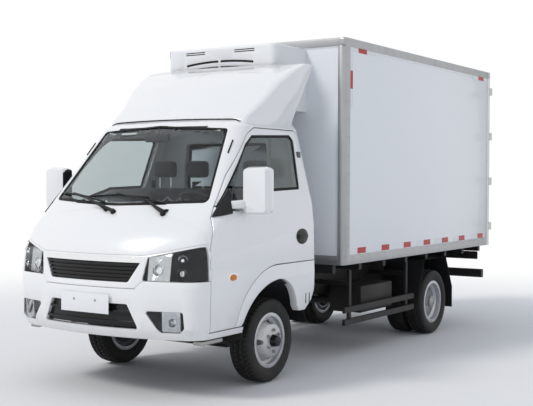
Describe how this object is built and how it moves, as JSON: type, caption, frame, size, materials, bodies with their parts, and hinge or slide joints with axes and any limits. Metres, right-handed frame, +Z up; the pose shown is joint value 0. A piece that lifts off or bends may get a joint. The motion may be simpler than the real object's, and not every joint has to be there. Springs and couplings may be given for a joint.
{
  "type": "refrigerated truck",
  "caption": "Light two-axle truck with a short cab over its front axle, an insulated cargo box with twin rear doors, a fridge unit and a roof deflector",
  "frame": {"origin": "on the ground, midway along the truck's length and width", "axes": "+X is the driver's side (left-hand drive), -Y is the front, +Z is up"},
  "size_m": [2.17, 5.431, 2.716],
  "materials": {
    "white_paint": "gloss white",
    "chassis_paint": "satin black",
    "tank_metal": "satin black",
    "exhaust_steel": "dull",
    "black_plastic": "matte black",
    "lamp_housing": "dark chrome look",
    "lens": "clear",
    "tail_red": "red lens",
    "window_glass": "tinted clear",
    "seat_fabric": "woven grey",
    "dash_plastic": "grained grey",
    "floor_mat": "matte",
    "box_panel": "gloss white",
    "rail_aluminium": "anodised",
    "stainless": "brushed",
    "unit_panel": "satin white",
    "rim_silver": "silver paint",
    "tyre_rubber": "matte black"
  },
  "bodies": {
    "root": {"chassis_frame": "chassis_paint", "box_bearers": "chassis_paint", "front_axle": "chassis_paint", "rear_axle": "chassis_paint", "drive_shaft": "chassis_paint", "engine": "chassis_paint", "fuel_tank": "tank_metal", "battery_box": "chassis_paint", "exhaust": "exhaust_steel", "side_guards": "chassis_paint", "rear_bumper": "chassis_paint", "tail_lamps": "tail_red", "mudguards": "black_plastic", "cab_floor": "floor_mat", "cab_sides": "white_paint", "cab_roof": "white_paint", "cab_rear_panel": "white_paint", "front_panel": "white_paint", "bumper": "white_paint", "grille": "black_plastic", "front_lamps": "lamp_housing", "lamp_lenses": "lens", "cab_glass": "window_glass", "wipers": "black_plastic", "seats": "seat_fabric", "dashboard": "dash_plastic", "air_deflector": "white_paint", "box_floor": "box_panel", "box_side_walls": "box_panel", "box_front_wall": "box_panel", "box_roof": "box_panel", "box_rails": "rail_aluminium", "box_door_frame": "stainless", "reefer_unit": "unit_panel", "evaporator": "unit_panel"},
    "steering_wheel": {"steering_wheel": "dash_plastic"},
    "tie_rod": {"tie_rod": "chassis_paint"},
    "knuckle_left": {"knuckle_left": "chassis_paint"},
    "front_wheel_left": {"front_rim_left": "rim_silver", "front_tyre_left": "tyre_rubber"},
    "rear_wheels_left": {"rear_rims_left": "rim_silver", "rear_tyres_left": "tyre_rubber"},
    "cab_door_left": {"cab_door_left": "white_paint", "door_glass_left": "window_glass", "mirror_left": "white_paint", "door_handle_left": "black_plastic"},
    "cargo_door_left": {"cargo_door_left": "box_panel", "door_locks_left": "stainless"},
    "knuckle_right": {"knuckle_right": "chassis_paint"},
    "front_wheel_right": {"front_rim_right": "rim_silver", "front_tyre_right": "tyre_rubber"},
    "rear_wheels_right": {"rear_rims_right": "rim_silver", "rear_tyres_right": "tyre_rubber"},
    "cab_door_right": {"cab_door_right": "white_paint", "door_glass_right": "window_glass", "mirror_right": "white_paint", "door_handle_right": "black_plastic"},
    "cargo_door_right": {"cargo_door_right": "box_panel", "door_locks_right": "stainless"}
  },
  "joints": [
    {"name": "steer_left", "type": "hinge", "parent": "root", "child": "knuckle_left", "pos_m": [0.6, -1.5435, 0.32], "axis": [0, 0, 1], "range_deg": [-35, 35]},
    {"name": "front_spin_left", "type": "hinge", "parent": "knuckle_left", "child": "front_wheel_left", "pos_m": [0.712, -1.5435, 0.32], "axis": [1, 0, 0], "continuous": true},
    {"name": "rear_spin_left", "type": "hinge", "parent": "root", "child": "rear_wheels_left", "pos_m": [0.6315, 1.4065, 0.32], "axis": [1, 0, 0], "continuous": true},
    {"name": "cab_door_swing_left", "type": "hinge", "parent": "root", "child": "cab_door_left", "pos_m": [0.864, -2.39306, 0.9], "axis": [0, 0, -1], "range_deg": [0, 70]},
    {"name": "cargo_door_swing_left", "type": "hinge", "parent": "root", "child": "cargo_door_left", "pos_m": [0.925, 2.6975, 1.77], "axis": [0, 0, -1], "range_deg": [0, 250]},
    {"name": "steer_right", "type": "hinge", "parent": "root", "child": "knuckle_right", "pos_m": [-0.6, -1.5435, 0.32], "axis": [0, 0, 1], "range_deg": [-35, 35]},
    {"name": "front_spin_right", "type": "hinge", "parent": "knuckle_right", "child": "front_wheel_right", "pos_m": [-0.712, -1.5435, 0.32], "axis": [1, 0, 0], "continuous": true},
    {"name": "rear_spin_right", "type": "hinge", "parent": "root", "child": "rear_wheels_right", "pos_m": [-0.6315, 1.4065, 0.32], "axis": [1, 0, 0], "continuous": true},
    {"name": "cab_door_swing_right", "type": "hinge", "parent": "root", "child": "cab_door_right", "pos_m": [-0.864, -2.39306, 0.9], "axis": [0, 0, 1], "range_deg": [0, 70]},
    {"name": "cargo_door_swing_right", "type": "hinge", "parent": "root", "child": "cargo_door_right", "pos_m": [-0.925, 2.6975, 1.77], "axis": [0, 0, 1], "range_deg": [0, 250]},
    {"name": "tie_rod_pivot", "type": "hinge", "parent": "knuckle_left", "child": "tie_rod", "pos_m": [0.6, -1.3935, 0.256], "axis": [0, 0, 1], "range_deg": [-35, 35]},
    {"name": "steering_wheel_turn", "type": "hinge", "parent": "root", "child": "steering_wheel", "pos_m": [0.38, -1.8535, 1.33], "axis": [0, 0.6157, 0.788], "range_deg": [-525, 525]}
  ],
  "couplings": [
    {"joint": "steer_right", "follows": "steer_left", "ratio": 1},
    {"joint": "tie_rod_pivot", "follows": "steer_left", "ratio": -1},
    {"joint": "steering_wheel_turn", "follows": "steer_left", "ratio": 15}
  ]
}
